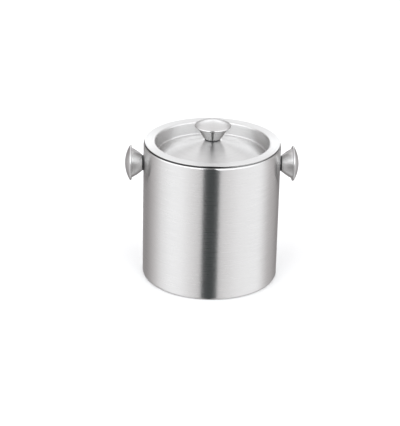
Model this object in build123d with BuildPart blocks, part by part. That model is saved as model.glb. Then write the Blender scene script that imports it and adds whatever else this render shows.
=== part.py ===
from build123d import *
import os

# Double-wall ice bucket with a lift-off lid, a cone knob on the lid and a slightly
# smaller one on each side.
# All sizes are in millimetres. The origin is the centre of the base, +Z is up,
# and the two side knobs lie on the X axis.

# Bucket body
bucket_r = 70.0
shell_sheet = 0.7
shell_top_z = 143.9
shell_base_round = 3.0
shell_top_round = 1.6
shell_foot_r = 62.0
shell_rim_lip_r = 63.0

# Inner liner, a drawn cup whose rim is turned out and down, and is welded to the shell's rim
liner_r = 59.0
liner_sheet = 0.6
liner_floor_z = 11.0
liner_floor_round = 5.0
liner_rim_round = 2.2
liner_rim_r = 67.2
liner_rim_h = 1.0
liner_lip_round = 0.8
liner_top_z = shell_top_z + liner_rim_h

# Base cover, pressed into the bottom of the shell
cover_sheet = 0.6
cover_gap = 0.1
cover_r = bucket_r - shell_sheet - cover_gap
cover_skirt_top_z = 8.0
cover_panel_z = 3.0
cover_panel_r = 50.0
cover_step_r = 53.0
cover_round = 2.4

# Lid, one pressed sheet with a wide flat flange round a deep recess
lid_r = 68.8
lid_sheet = 0.7
lid_gap = 0.3
lid_top_z = liner_top_z + lid_gap + lid_sheet
lid_edge_round = 0.25
recess_r = 58.0
recess_edge_round = 2.0
recess_corner_r = 56.75
recess_corner_depth = 14.5
recess_corner_round = 1.8
lid_seat_rise = 1.9
lid_seat_r = 9.0
lid_seat_round = 6.0
lid_seat_z = lid_top_z + lid_seat_rise

# Knobs: a spun cone closed by a domed cap whose edge is rolled round the cone's lip.
# Both sizes share one base and differ in their lip's radius and in its height over the seat.
knob_z = 122.0
side_lip_r = 16.85
side_lip_h = 12.45
lid_lip_r = 17.3
lid_lip_h = 14.2
lip_width = 1.15
knob_sheet = 0.5
knob_base_r = 8.3
knob_base_round = 0.5
knob_belly = 0.4
knob_belly_at = 0.42
dome_rise = 5.75
cap_roll_r = 1.1
cap_hook = 0.55
spacer_t = 1.3
spacer_r = 7.8
spacer_spare = 1.0
insert_r = 6.0
insert_length = 9.0
insert_bore_r = 2.55

# Fasteners, M5
screw_r = 2.5
screw_hole_r = 2.75
drill_spare = 1.0
side_screw_length = 14.0
lid_screw_length = 12.0
screw_head_r = 4.75
screw_head_t = 3.0
screw_head_round = 1.2
cross_length = 5.0
cross_width = 1.0
cross_depth = 1.7
lock_r = 4.6
lock_t = 1.2
lock_slit = 0.9
flat_washer_r = 7.5
flat_washer_t = 1.0
saddle_width = 20.0
saddle_corner = 4.0
saddle_t = 2.5
saddle_gap = 0.05

os.makedirs("parts", exist_ok=True)


def keep(piece, name):
    """Label a finished piece and write it as its own STEP file."""
    piece.part.label = name
    export_step(piece.part, f"parts/{name}.step")


def half_plane(seat):
    """Plane through a seat's axis: local X is the radius, local Y runs along the axis."""
    return Plane(origin=seat.origin, x_dir=seat.x_dir, z_dir=-seat.y_dir)


def seat_axis(seat):
    return Axis(seat.origin, seat.z_dir)


# --- Bucket pieces ---------------------------------------------------------

# Outer shell: straight tube, its lower edge turned in as the foot, its upper edge as the rim
with BuildPart() as outer_shell:
    with BuildSketch(Plane.XZ):
        with BuildLine():
            FilletPolyline(
                (shell_foot_r, 0),
                (bucket_r, 0),
                (bucket_r, shell_top_z),
                (shell_rim_lip_r, shell_top_z),
                radius=[shell_base_round, shell_top_round],
            )
            offset(amount=shell_sheet, side=Side.LEFT)
        make_face()
    revolve(axis=Axis.Z)
    with BuildSketch(Plane.YZ.offset(-bucket_r - drill_spare)):
        with Locations((0, knob_z)):
            Circle(screw_hole_r)
    extrude(amount=2 * (bucket_r + drill_spare), mode=Mode.SUBTRACT)
keep(outer_shell, "outer_shell")

# Inner liner: drawn cup with a round-cornered floor and a channel-shaped rim on the shell's rim
with BuildPart() as inner_liner:
    with BuildSketch(Plane.XZ):
        with BuildLine():
            FilletPolyline(
                (0, liner_floor_z),
                (liner_r, liner_floor_z),
                (liner_r, liner_top_z),
                (liner_rim_r + liner_sheet, liner_top_z),
                (liner_rim_r + liner_sheet, shell_top_z),
                radius=[liner_floor_round, liner_rim_round, liner_lip_round],
            )
            offset(amount=liner_sheet, side=Side.RIGHT)
        make_face()
    revolve(axis=Axis.Z)
keep(inner_liner, "inner_liner")

# Base cover: dished disc with a skirt, resting on the shell's turned-in foot
with BuildPart() as base_cover:
    with BuildSketch(Plane.XZ):
        with BuildLine():
            FilletPolyline(
                (0, cover_panel_z),
                (cover_panel_r, cover_panel_z),
                (cover_step_r, shell_sheet),
                (cover_r, shell_sheet),
                (cover_r, cover_skirt_top_z),
                radius=cover_round,
            )
            offset(amount=cover_sheet, side=Side.LEFT)
        make_face()
    revolve(axis=Axis.Z)
keep(base_cover, "base_cover")

# --- Lid -------------------------------------------------------------------

# Lid pan: knob seat, conical floor, recess wall and flat flange
with BuildPart() as lid_pan:
    with BuildSketch(Plane.XZ):
        with BuildLine():
            FilletPolyline(
                (screw_hole_r, lid_seat_z),
                (lid_seat_r, lid_seat_z),
                (recess_corner_r, lid_top_z - recess_corner_depth),
                (recess_r, lid_top_z),
                (lid_r, lid_top_z),
                radius=[lid_seat_round, recess_corner_round, recess_edge_round],
            )
            offset(amount=lid_sheet, side=Side.RIGHT)
        make_face()
    revolve(axis=Axis.Z)
    outer_edges = lid_pan.edges().filter_by(GeomType.CIRCLE).group_by(SortBy.RADIUS)[-1]
    fillet(outer_edges, lid_edge_round)
keep(lid_pan, "lid_pan")


# --- Knob pieces, each built on a seat plane whose Z axis is the knob's axis ---

def knob_body(seat, lip_r, lip_h):
    """Hollow spun cone: flat base, slightly bellied flank and a flat lip."""
    base = Vector(knob_base_r, spacer_t)
    neck = Vector(lip_r - lip_width, lip_h)
    waist = base + (neck - base) * knob_belly_at + Vector(knob_belly, 0)
    with BuildPart() as body:
        with BuildSketch(half_plane(seat)):
            with BuildLine():
                Line((screw_hole_r, spacer_t), base)
                ThreePointArc(base, waist, neck)
                Line(neck, (lip_r, lip_h))
                offset(amount=knob_sheet, side=Side.LEFT)
            make_face()
        revolve(axis=seat_axis(seat))
        base_rim = body.edges().filter_by(GeomType.CIRCLE).group_by(seat_axis(seat))[0]
        fillet(base_rim.sort_by(SortBy.RADIUS)[-1], knob_base_round)
    return body


def knob_cap(seat, lip_r, lip_h):
    """Domed disc whose edge is rolled round and under the cone's lip.

    The dome is an arc that meets the round of the roll without a kink.
    """
    roll_h = lip_h + cap_roll_r - knob_sheet
    crest_h = roll_h + dome_rise
    hook_start = (lip_r, roll_h - cap_roll_r)
    dome_r = (lip_r**2 + dome_rise**2 - cap_roll_r**2) / (2 * (dome_rise - cap_roll_r))
    reach = dome_r / (dome_r - cap_roll_r)
    dome_end = (lip_r * reach, crest_h - dome_r + (dome_r - dome_rise) * reach)
    with BuildPart() as cap:
        with BuildSketch(half_plane(seat)):
            with BuildLine():
                TangentArc((0, crest_h), dome_end, tangent=(1, 0))
                ThreePointArc(dome_end, (lip_r + cap_roll_r, roll_h), hook_start)
                Line(hook_start, (lip_r - cap_hook, hook_start[1]))
                offset(amount=knob_sheet, side=Side.RIGHT)
            make_face()
        revolve(axis=seat_axis(seat))
    return cap


def knob_insert(seat):
    """Threaded hexagonal boss welded to the inside of the cone's base."""
    with BuildPart() as insert:
        with BuildSketch(seat.offset(spacer_t + knob_sheet)):
            RegularPolygon(insert_r, 6)
            Circle(insert_bore_r, mode=Mode.SUBTRACT)
        extrude(amount=insert_length)
    return insert


def flat_spacer(seat):
    """Dark plastic washer between the knob and a flat seat."""
    with BuildPart() as spacer:
        with BuildSketch(seat):
            Circle(spacer_r)
            Circle(screw_hole_r, mode=Mode.SUBTRACT)
        extrude(amount=spacer_t)
    return spacer


def curved_spacer(seat):
    """Dark plastic washer whose inner face is shaped to the round shell."""
    with BuildPart() as spacer:
        with BuildSketch(seat.offset(-spacer_spare)):
            Circle(spacer_r)
            Circle(screw_hole_r, mode=Mode.SUBTRACT)
        extrude(amount=spacer_t + spacer_spare)
        with BuildSketch(Plane.XY):
            Circle(bucket_r)
        extrude(amount=shell_top_z, mode=Mode.SUBTRACT)
    return spacer


def saddle_washer(seat):
    """Square plate behind the shell: curved on the shell side, flat on the screw side."""
    with BuildPart() as saddle:
        with BuildSketch(seat.offset(-shell_sheet - saddle_t)):
            RectangleRounded(saddle_width, saddle_width, saddle_corner)
            Circle(screw_hole_r, mode=Mode.SUBTRACT)
        extrude(amount=saddle_t)
        with BuildSketch(Plane.XY):
            Circle(bucket_r - shell_sheet - saddle_gap)
        extrude(amount=shell_top_z, mode=Mode.INTERSECT)
    return saddle


def flat_washer(seat, top):
    """Wide round washer under the lid that spreads the screw's load."""
    with BuildPart() as washer:
        with BuildSketch(seat.offset(top - flat_washer_t)):
            Circle(flat_washer_r)
            Circle(screw_hole_r, mode=Mode.SUBTRACT)
        extrude(amount=flat_washer_t)
    return washer


def spring_washer(seat, top):
    """Split lock washer, drawn as tightened flat."""
    with BuildPart() as washer:
        with BuildSketch(seat.offset(top - lock_t)):
            Circle(lock_r)
            Circle(screw_hole_r, mode=Mode.SUBTRACT)
            with Locations(((screw_hole_r + lock_r) / 2, 0)):
                Rectangle(lock_r, lock_slit, mode=Mode.SUBTRACT)
        extrude(amount=lock_t)
    return washer


def pan_screw(seat, under_head, length):
    """Cross-recessed pan-head screw whose shank runs up into the insert."""
    with BuildPart() as screw:
        with BuildSketch(seat.offset(under_head - screw_head_t)):
            Circle(screw_head_r)
        extrude(amount=screw_head_t)
        head_rim = screw.edges().group_by(seat_axis(seat))[0]
        fillet(head_rim, screw_head_round)
        with BuildSketch(seat.offset(under_head)):
            Circle(screw_r)
        extrude(amount=length)
        with BuildSketch(seat.offset(under_head - screw_head_t)):
            Rectangle(cross_length, cross_width)
            Rectangle(cross_width, cross_length)
        extrude(amount=cross_depth, mode=Mode.SUBTRACT)
    return screw


def knob_set(side, seat, lip_r, lip_h):
    """The pieces that all three knobs share."""
    keep(knob_body(seat, lip_r, lip_h), f"{side}_knob_body")
    keep(knob_cap(seat, lip_r, lip_h), f"{side}_knob_cap")
    keep(knob_insert(seat), f"{side}_knob_insert")


left_seat = Plane(origin=(-bucket_r, 0, knob_z), x_dir=(0, 1, 0), z_dir=(-1, 0, 0))
right_seat = Plane(origin=(bucket_r, 0, knob_z), x_dir=(0, 1, 0), z_dir=(1, 0, 0))
lid_seat = Plane(origin=(0, 0, lid_seat_z), x_dir=(1, 0, 0), z_dir=(0, 0, 1))

# Side knobs: screwed through the shell from the air gap behind it
under_saddle = -shell_sheet - saddle_t
for side, seat in (("left", left_seat), ("right", right_seat)):
    knob_set(side, seat, side_lip_r, side_lip_h)
    keep(curved_spacer(seat), f"{side}_knob_spacer")
    keep(saddle_washer(seat), f"{side}_saddle_washer")
    keep(spring_washer(seat, under_saddle), f"{side}_spring_washer")
    keep(pan_screw(seat, under_saddle - lock_t, side_screw_length), f"{side}_knob_screw")

# Lid knob: screwed through the lid from below
knob_set("lid", lid_seat, lid_lip_r, lid_lip_h)
keep(flat_spacer(lid_seat), "lid_knob_spacer")
under_washer = -lid_sheet - flat_washer_t
keep(flat_washer(lid_seat, -lid_sheet), "lid_flat_washer")
keep(spring_washer(lid_seat, under_washer), "lid_spring_washer")
keep(pan_screw(lid_seat, under_washer - lock_t, lid_screw_length), "lid_knob_screw")
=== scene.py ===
import math

import bpy
from mathutils import Matrix, Vector


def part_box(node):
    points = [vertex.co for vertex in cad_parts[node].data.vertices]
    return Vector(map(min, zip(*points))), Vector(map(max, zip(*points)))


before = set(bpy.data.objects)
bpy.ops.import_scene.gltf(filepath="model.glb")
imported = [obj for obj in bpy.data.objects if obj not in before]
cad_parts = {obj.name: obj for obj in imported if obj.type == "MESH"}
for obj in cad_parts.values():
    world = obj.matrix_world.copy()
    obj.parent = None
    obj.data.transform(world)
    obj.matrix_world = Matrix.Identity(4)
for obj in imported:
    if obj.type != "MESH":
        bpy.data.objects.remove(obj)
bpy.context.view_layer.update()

# ---------------------------------------------------------------- sizes, in metres

# The lid's flange: its top over the shell's rim, its sheet, and where its recess opens
FLANGE_RISE = 0.0020
FLANGE_SHEET = 0.0007
RECESS_R = 0.0580
# Radius of the rolled rim on a knob's cap
CAP_ROLL_R = 0.0011

shell_low, shell_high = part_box("outer_shell")
base_z = shell_low.z
rim_z = shell_high.z
shell_r = shell_high.x
lid_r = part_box("lid_pan")[1].x
flange_z = rim_z + FLANGE_RISE

# How far from each edge the polish of handling reaches
FOOT_WEAR = 0.0026
RIM_WEAR = 0.0016
FLANGE_WEAR = 0.0007
RECESS_WEAR = 0.0018
CAP_WEAR = 0.0014


# ---------------------------------------------------------------- viewing angle and lens

VIEW_AZIMUTH = math.radians(-3.0)
VIEW_ELEVATION = math.radians(23.73)
VIEW_ROLL = math.radians(1.29)
VIEW_DISTANCE = 1.7
LENS = 138.5
# The camera turns about the pivot and aims a little to its left and above it
PIVOT = Vector((0, 0, base_z + 0.062))
AIM_RIGHT = -0.0110
AIM_UP = 0.0035


# ---------------------------------------------------------------- finishes, and the painted seam shade

STEEL = (0.600, 0.597, 0.594)

# Brushing: how far a streak runs round the axis, and how much wider the broad ones are
FINE_RUN = 0.030
BROAD_RUN = 0.012
BROAD_WIDTH = 3
FINE_SHARE = 0.85
BROAD_SHARE = 0.15
# The part of the streaks' noise that goes from dark to light
STREAK_DARK = 0.36
STREAK_LIGHT = 0.64
# Soft clouds over the streaks, and the range of shades that both make
CLOUD_SCALE = 28.0
LIGHT_SHARE = 0.75
CLOUD_SHARE = 0.25
DARKEST = 0.95
LIGHTEST = 1.04
ROUGHNESS_SWING = 0.02
BRUSH_BUMP = 0.12
BRUSH_DEPTH = 0.00002

# Polish of handling: lighter and smoother, and broken up by the clouds
POLISH_SHADE = 1.06
POLISH_SMOOTHS = 0.05
POLISH_LEAST = 0.5
POLISH_CLOUD = (0.35, 0.65)

# Inside this radius the rims keep their brushed finish. Outside it the seam under the flange
# carries painted shade, a dark band standing in for the shadow in the gap, fully dark on the left
# and less from the middle to SEAM_TURN on the right
SEAM_PAINT_R = 0.0668
PAINTED_SEAM_SHADE = 0.15
SEAM_LEFT = 1.0
SEAM_RIGHT = 0.45
SEAM_TURN = 0.03
SEAM_UNDER = 0.0002
SEAM_OVER = 0.0001


# ---------------------------------------------------------------- node helpers

class Nodes:
    """Short names for building a shader's node tree."""

    def __init__(self, tree):
        self.tree = tree
        tree.nodes.clear()

    def add(self, kind, **settings):
        node = self.tree.nodes.new(kind)
        for name, value in settings.items():
            setattr(node, name, value)
        return node

    def link(self, output, socket):
        self.tree.links.new(output, socket)

    def put(self, value, socket):
        if isinstance(value, bpy.types.NodeSocket):
            self.link(value, socket)
        else:
            socket.default_value = value

    def math(self, operation, *values):
        node = self.add("ShaderNodeMath", operation=operation)
        for value, socket in zip(values, node.inputs):
            self.put(value, socket)
        return node.outputs[0]

    def length(self, first, second):
        squares = [self.math("MULTIPLY", part, part) for part in (first, second)]
        return self.math("SQRT", self.math("ADD", *squares))

    def remap(self, value, low, high, new_low, new_high, smooth=False):
        node = self.add("ShaderNodeMapRange")
        if smooth:
            node.interpolation_type = "SMOOTHSTEP"
        for name, part in (
            ("Value", value),
            ("From Min", low),
            ("From Max", high),
            ("To Min", new_low),
            ("To Max", new_high),
        ):
            self.put(part, node.inputs[name])
        return node.outputs["Result"]

    def mix(self, factor, first, second):
        node = self.add("ShaderNodeMix", data_type="RGBA")
        self.put(factor, node.inputs["Factor"])
        for value, name in ((first, "A"), (second, "B")):
            socket = [s for s in node.inputs if s.name == name and s.type == "RGBA"][0]
            self.put(value if isinstance(value, bpy.types.NodeSocket) else (*value, 1), socket)
        return [s for s in node.outputs if s.type == "RGBA"][0]

    def noise(self, vector, scale, detail=2.0, w=None):
        node = self.add("ShaderNodeTexNoise")
        if w is not None:
            node.noise_dimensions = "4D"
            self.put(w, node.inputs["W"])
        self.put(vector, node.inputs["Vector"])
        node.inputs["Scale"].default_value = scale
        node.inputs["Detail"].default_value = detail
        return node.outputs[0]

    def bump(self, height, strength, distance, shader):
        node = self.add("ShaderNodeBump")
        node.inputs["Strength"].default_value = strength
        node.inputs["Distance"].default_value = distance
        self.link(height, node.inputs["Height"])
        self.link(node.outputs[0], shader.inputs["Normal"])

    def finish(self, shader):
        output = self.add("ShaderNodeOutputMaterial")
        self.link(shader.outputs[0], output.inputs[0])


def new_material(name):
    material = bpy.data.materials.new(name)
    material.use_nodes = True
    return material, Nodes(material.node_tree)


def shaded(colour, share):
    return tuple(c * share for c in colour)


# ---------------------------------------------------------------- materials

def turned_steel(
    name, roughness, anisotropy, axis="Z", centre=(0, 0, 0), line=0.0004, shade=1.0, worn=()
):
    """Steel brushed or turned round an axis: fine rings about it, and a smear across them.

    worn lists rings (radius, place along the axis, reach) where handling has polished an edge.
    """
    material, n = new_material(name)
    across = {"X": ("Y", "Z"), "Z": ("X", "Y")}[axis]
    local = n.add("ShaderNodeVectorMath", operation="SUBTRACT")
    n.link(n.add("ShaderNodeTexCoord").outputs["Object"], local.inputs[0])
    local.inputs[1].default_value = centre
    parts = n.add("ShaderNodeSeparateXYZ")
    n.link(local.outputs[0], parts.inputs[0])
    a, b = (parts.outputs[k] for k in across)
    along = parts.outputs[axis]
    radius = n.length(a, b)

    def rings(pitch, length, detail):
        """Streaks one pitch wide that run round the axis for about that length."""
        streak = n.add("ShaderNodeCombineXYZ")
        n.link(n.math("DIVIDE", a, length), streak.inputs[0])
        n.link(n.math("DIVIDE", b, length), streak.inputs[1])
        n.link(n.math("DIVIDE", radius, pitch), streak.inputs[2])
        return n.noise(streak.outputs[0], 1.0, detail, w=n.math("DIVIDE", along, pitch))

    fine = n.math("MULTIPLY", rings(line, FINE_RUN, detail=2.0), FINE_SHARE)
    broad = n.math("MULTIPLY", rings(line * BROAD_WIDTH, BROAD_RUN, detail=1.0), BROAD_SHARE)
    streaks = n.math("ADD", fine, broad)
    light = n.remap(streaks, STREAK_DARK, STREAK_LIGHT, 0.0, 1.0)
    cloud = n.noise(local.outputs[0], CLOUD_SCALE)
    tone = n.math(
        "ADD", n.math("MULTIPLY", light, LIGHT_SHARE), n.math("MULTIPLY", cloud, CLOUD_SHARE)
    )
    metal = n.mix(tone, shaded(STEEL, shade * DARKEST), shaded(STEEL, shade * LIGHTEST))
    rough = n.remap(light, 0.0, 1.0, roughness + ROUGHNESS_SWING, roughness - ROUGHNESS_SWING)

    for ring_radius, ring_place, reach in worn:
        off = n.math("SUBTRACT", radius, ring_radius)
        rise = n.math("SUBTRACT", along, ring_place)
        polish = n.remap(n.length(off, rise), 0.0, reach, 1.0, 0.0, smooth=True)
        patches = n.remap(cloud, *POLISH_CLOUD, POLISH_LEAST, 1.0)
        polish = n.math("MULTIPLY", polish, patches)
        metal = n.mix(polish, metal, shaded(STEEL, shade * POLISH_SHADE))
        rough = n.math("SUBTRACT", rough, n.math("MULTIPLY", polish, POLISH_SMOOTHS))

    # Painted shade in the seam under the flange: the shell and liner rims there are darkened, more
    # on the left, to stand in for the gap's shadow
    if axis == "Z":
        above = n.math("GREATER_THAN", along, rim_z - SEAM_UNDER)
        below = n.math("LESS_THAN", along, flange_z - FLANGE_SHEET + SEAM_OVER)
        outside = n.math("GREATER_THAN", radius, SEAM_PAINT_R)
        side = n.remap(parts.outputs["X"], 0.0, SEAM_TURN, SEAM_LEFT, SEAM_RIGHT, smooth=True)
        seam = n.math("MULTIPLY", above, below)
        painted_seam_shade = n.math("MULTIPLY", seam, n.math("MULTIPLY", outside, side))
        metal = n.mix(painted_seam_shade, metal, shaded(STEEL, PAINTED_SEAM_SHADE))

    shader = n.add("ShaderNodeBsdfPrincipled")
    shader.inputs["Metallic"].default_value = 1.0
    shader.inputs["Anisotropic"].default_value = anisotropy
    shader.inputs["Anisotropic Rotation"].default_value = 0.25
    n.link(metal, shader.inputs["Base Color"])
    n.link(rough, shader.inputs["Roughness"])
    tangent = n.add("ShaderNodeTangent", direction_type="RADIAL", axis=axis)
    n.link(tangent.outputs[0], shader.inputs["Tangent"])
    n.bump(streaks, BRUSH_BUMP, BRUSH_DEPTH, shader)
    n.finish(shader)
    return material


def plated_steel():
    """Zinc-plated fasteners: bright, lightly mottled."""
    material, n = new_material("plated_hardware")
    place = n.add("ShaderNodeTexCoord").outputs["Object"]
    mottle = n.noise(place, scale=900.0, detail=3.0)
    shader = n.add("ShaderNodeBsdfPrincipled")
    shader.inputs["Metallic"].default_value = 1.0
    colour = n.mix(mottle, (0.52, 0.53, 0.55), (0.66, 0.66, 0.67))
    n.link(colour, shader.inputs["Base Color"])
    n.link(n.remap(mottle, 0.3, 0.7, 0.24, 0.36), shader.inputs["Roughness"])
    n.bump(mottle, strength=0.15, distance=0.00002, shader=shader)
    n.finish(shader)
    return material


def black_plastic():
    """Matt moulded spacer with a fine spark-eroded grain."""
    material, n = new_material("black_spacer")
    place = n.add("ShaderNodeTexCoord").outputs["Object"]
    grain = n.noise(place, scale=2600.0)
    shader = n.add("ShaderNodeBsdfPrincipled")
    colour = n.mix(grain, (0.014, 0.015, 0.016), (0.030, 0.031, 0.033))
    n.link(colour, shader.inputs["Base Color"])
    n.link(n.remap(grain, 0.3, 0.7, 0.48, 0.62), shader.inputs["Roughness"])
    n.bump(grain, strength=0.4, distance=0.00003, shader=shader)
    n.finish(shader)
    return material


def dress(material, *nodes):
    """Give CAD nodes a material through their slots."""
    for name in nodes:
        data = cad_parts[name].data
        data.materials.clear()
        data.materials.append(material)
        for polygon in data.polygons:
            polygon.material_index = 0


def dress_knob(side, axis, outward, cone_painted_shade):
    """Turned metal for one knob's cap and cone, its rings centred on the knob's own axis. The
    cone's tone carries painted light or shade.
    """
    low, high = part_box(f"{side}_knob_cap")
    centre = (low + high) / 2
    rim_r = (high.y - low.y) / 2
    near = low.z if axis == "Z" else low.x if outward > 0 else high.x
    worn = ((rim_r, near + outward * CAP_ROLL_R, CAP_WEAR),)
    middle = (centre.x, centre.y, 0) if axis == "Z" else (0, centre.y, centre.z)
    turning = dict(axis=axis, centre=middle, line=0.00025)
    cap = turned_steel(
        f"turned_cap_{side}", roughness=0.33, anisotropy=0.6, shade=0.96, worn=worn, **turning
    )
    cone = turned_steel(
        f"turned_cone_{side}", roughness=0.20, anisotropy=1.0, shade=cone_painted_shade, **turning
    )
    dress(cap, f"{side}_knob_cap")
    dress(cone, f"{side}_knob_body")


shell_worn = ((shell_r, base_z, FOOT_WEAR), (shell_r, rim_z, RIM_WEAR))
lid_worn = ((lid_r, flange_z, FLANGE_WEAR), (RECESS_R, flange_z, RECESS_WEAR))
shell_steel = turned_steel("brushed_shell", roughness=0.29, anisotropy=1.0, worn=shell_worn)
lid_steel = turned_steel("brushed_lid", roughness=0.36, anisotropy=0.92, worn=lid_worn)
liner_steel = turned_steel("satin_liner", roughness=0.34, anisotropy=0.6, shade=0.95)
dress(shell_steel, "outer_shell")
dress(lid_steel, "lid_pan")
dress(liner_steel, "inner_liner", "base_cover")
# The cones' tones are painted light and shade: the lid knob's cone darker and the side knobs'
# cones lighter than plain steel, for how light falls on each
dress_knob("lid", axis="Z", outward=1, cone_painted_shade=0.80)
dress_knob("left", axis="X", outward=-1, cone_painted_shade=1.02)
dress_knob("right", axis="X", outward=1, cone_painted_shade=1.02)
hardware = [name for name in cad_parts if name.endswith(("_insert", "_screw", "_washer"))]
spacers = [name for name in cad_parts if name.endswith("_spacer")]
dress(plated_steel(), *hardware)
dress(black_plastic(), *spacers)


# ---------------------------------------------------------------- studio

# The surround by its bearing from the front, in degrees: negative is the object's left.
# LOWER is the brightness near and under the horizon, UPPER the brightness over it,
# and JOIN the height (as a sine) where the one starts to give way to the other.
LOWER = (
    (-180, 0.41), (-160, 0.41), (-145, 0.41), (-130, 0.46), (-120, 0.65), (-110, 0.83),
    (-90, 1.26), (-70, 1.44), (-50, 1.30), (-35, 1.00), (-15, 0.66), (15, 0.76),
    (35, 1.02), (50, 1.23), (70, 1.34), (90, 1.44), (103, 1.15), (112, 0.83),
    (130, 0.66), (150, 0.35), (165, 0.37), (180, 0.41),
)
UPPER = (
    (-180, 2.30), (-166, 2.10), (-150, 1.00), (-115, 0.90), (-95, 2.30), (-30, 3.50),
    (30, 3.05), (95, 2.30), (115, 1.10), (150, 1.10), (166, 2.10), (180, 2.30),
)
JOIN = (
    (-180, 0.10), (-168, 0.10), (-150, 0.45), (-110, 0.45), (-90, 0.12), (90, 0.12),
    (110, 0.42), (150, 0.42), (168, 0.10), (180, 0.10),
)
JOIN_DEPTH = 0.22
# Colour ramps stop at 1, so the tables are stored as shares of this brightness
PEAK = 3.5

# The crown overhead: its brightness, the heights it fades in between, its lean to the back
ZENITH = 1.20
CROWN_LOW = 0.45
CROWN_HIGH = 0.85
CROWN_LEAN = 0.2

# The dark slit at the front: its size in degrees, its brightness, its soft edges
SLIT_HALF_WIDTH = 13
SLIT_TOP = 72
SLIT = 0.08
SLIT_TINT = (0.90, 1.01, 1.03)
SLIT_SIDE_FADE = 1.1
SLIT_FADE_UNDER = 0.06
SLIT_FADE_OVER = 0.02

# The light is warm where it is dim and cool where it is bright
WARM = (1.028, 0.985, 0.985)
COOL = (0.985, 0.998, 1.012)
WARM_BELOW = 0.5
COOL_ABOVE = 1.6
# What the camera itself sees behind the bucket
PALE = (0.985, 0.987, 0.990)

FLOOR_HALF = 5.0


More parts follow.
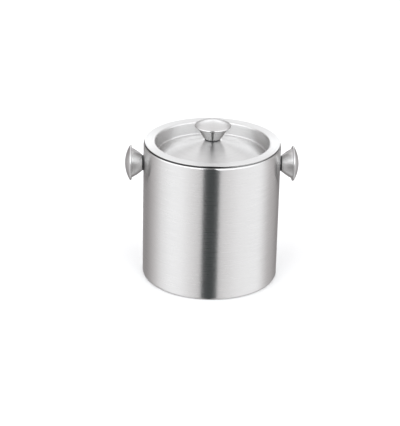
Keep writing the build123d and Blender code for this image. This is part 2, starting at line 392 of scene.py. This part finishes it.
def studio():
    """Soft surround: brightest high at the front, dim low at the back, dark in a slit in front."""
    world = bpy.data.worlds.new("studio")
    world.use_nodes = True
    bpy.context.scene.world = world
    n = Nodes(world.node_tree)
    turn = n.add("ShaderNodeVectorRotate", rotation_type="Z_AXIS")
    n.link(n.add("ShaderNodeTexCoord").outputs["Generated"], turn.inputs["Vector"])
    turn.inputs["Angle"].default_value = -VIEW_AZIMUTH
    parts = n.add("ShaderNodeSeparateXYZ")
    n.link(turn.outputs[0], parts.inputs[0])
    bearing = n.math("ARCTAN2", parts.outputs["X"], n.math("MULTIPLY", parts.outputs["Y"], -1.0))
    height = parts.outputs["Z"]
    share = n.remap(bearing, -math.pi, math.pi, 0.0, 1.0)

    def round_about(table):
        """The table's value at this bearing."""
        ramp = n.add("ShaderNodeValToRGB")
        n.link(share, ramp.inputs[0])
        stops = ramp.color_ramp.elements
        while len(stops) < len(table):
            stops.new(0.5)
        for stop, (degrees, level) in zip(stops, table):
            stop.position = (degrees + 180) / 360
            stop.color = (level / PEAK, level / PEAK, level / PEAK, 1)
        return n.math("MULTIPLY", ramp.outputs[0], PEAK)

    def blend(factor, first, second):
        return n.remap(factor, 0.0, 1.0, first, second)

    join = round_about(JOIN)
    rise = n.remap(height, join, n.math("ADD", join, JOIN_DEPTH), 0.0, 1.0, smooth=True)
    leaning = n.math("ADD", height, n.math("MULTIPLY", parts.outputs["Y"], CROWN_LEAN))
    crown = n.remap(leaning, CROWN_LOW, CROWN_HIGH, 0.0, 1.0, smooth=True)
    sky = blend(rise, round_about(LOWER), blend(crown, round_about(UPPER), ZENITH))

    edge = math.radians(SLIT_HALF_WIDTH)
    off = n.math("ABSOLUTE", bearing)
    beside = n.remap(off, edge, edge * SLIT_SIDE_FADE, 1.0, 0.0, smooth=True)
    top = math.sin(math.radians(SLIT_TOP))
    under = n.remap(height, top - SLIT_FADE_UNDER, top + SLIT_FADE_OVER, 1.0, 0.0, smooth=True)
    slit = n.math("MULTIPLY", beside, under)
    tint = n.mix(n.remap(sky, WARM_BELOW, COOL_ABOVE, 0.0, 1.0), WARM, COOL)
    tint = n.mix(slit, tint, SLIT_TINT)

    glow = n.add("ShaderNodeBackground")
    n.link(tint, glow.inputs[0])
    n.link(blend(slit, sky, SLIT), glow.inputs[1])
    plain = n.add("ShaderNodeBackground")
    plain.inputs[0].default_value = (*PALE, 1)
    either = n.add("ShaderNodeMixShader")
    n.link(n.add("ShaderNodeLightPath").outputs["Is Camera Ray"], either.inputs[0])
    n.link(glow.outputs[0], either.inputs[1])
    n.link(plain.outputs[0], either.inputs[2])
    output = n.add("ShaderNodeOutputWorld")
    n.link(either.outputs[0], output.inputs[0])


def floor():
    """Plain pale floor under the bucket, one flat square sheet."""
    turns = ((-1, -1), (1, -1), (1, 1), (-1, 1))
    corners = [(x * FLOOR_HALF, y * FLOOR_HALF, base_z) for x, y in turns]
    mesh = bpy.data.meshes.new("floor")
    mesh.from_pydata(corners, [], [(0, 1, 2, 3)])
    sheet = bpy.data.objects.new("floor", mesh)
    bpy.context.scene.collection.objects.link(sheet)
    material, n = new_material("floor_paint")
    patch = n.noise(n.add("ShaderNodeTexCoord").outputs["Object"], scale=3.0)
    shader = n.add("ShaderNodeBsdfPrincipled")
    n.link(n.mix(patch, (0.86, 0.86, 0.86), (0.88, 0.88, 0.88)), shader.inputs["Base Color"])
    shader.inputs["Roughness"].default_value = 0.9
    shader.inputs["Specular IOR Level"].default_value = 0.1
    n.finish(shader)
    mesh.materials.append(material)
    sheet.visible_glossy = False


def camera():
    """Long lens looking down on the bucket, level but for a slight roll."""
    back = Vector((
        math.sin(VIEW_AZIMUTH) * math.cos(VIEW_ELEVATION),
        -math.cos(VIEW_AZIMUTH) * math.cos(VIEW_ELEVATION),
        math.sin(VIEW_ELEVATION),
    ))
    right = Vector((0, 0, 1)).cross(back).normalized()
    up = back.cross(right)
    place = PIVOT + back * VIEW_DISTANCE
    aim = PIVOT + right * AIM_RIGHT + up * AIM_UP
    back = (place - aim).normalized()
    right = Vector((0, 0, 1)).cross(back).normalized()
    up = back.cross(right)
    turned_right = right * math.cos(VIEW_ROLL) + up * math.sin(VIEW_ROLL)
    turned_up = up * math.cos(VIEW_ROLL) - right * math.sin(VIEW_ROLL)
    lens = bpy.data.cameras.new("camera")
    lens.lens = LENS
    seen = bpy.data.objects.new("camera", lens)
    axes = Matrix((turned_right, turned_up, back)).transposed()
    seen.matrix_world = Matrix.Translation(place) @ axes.to_4x4()
    bpy.context.scene.collection.objects.link(seen)
    bpy.context.scene.camera = seen


studio()
floor()
camera()
bpy.context.scene.view_settings.view_transform = "Standard"
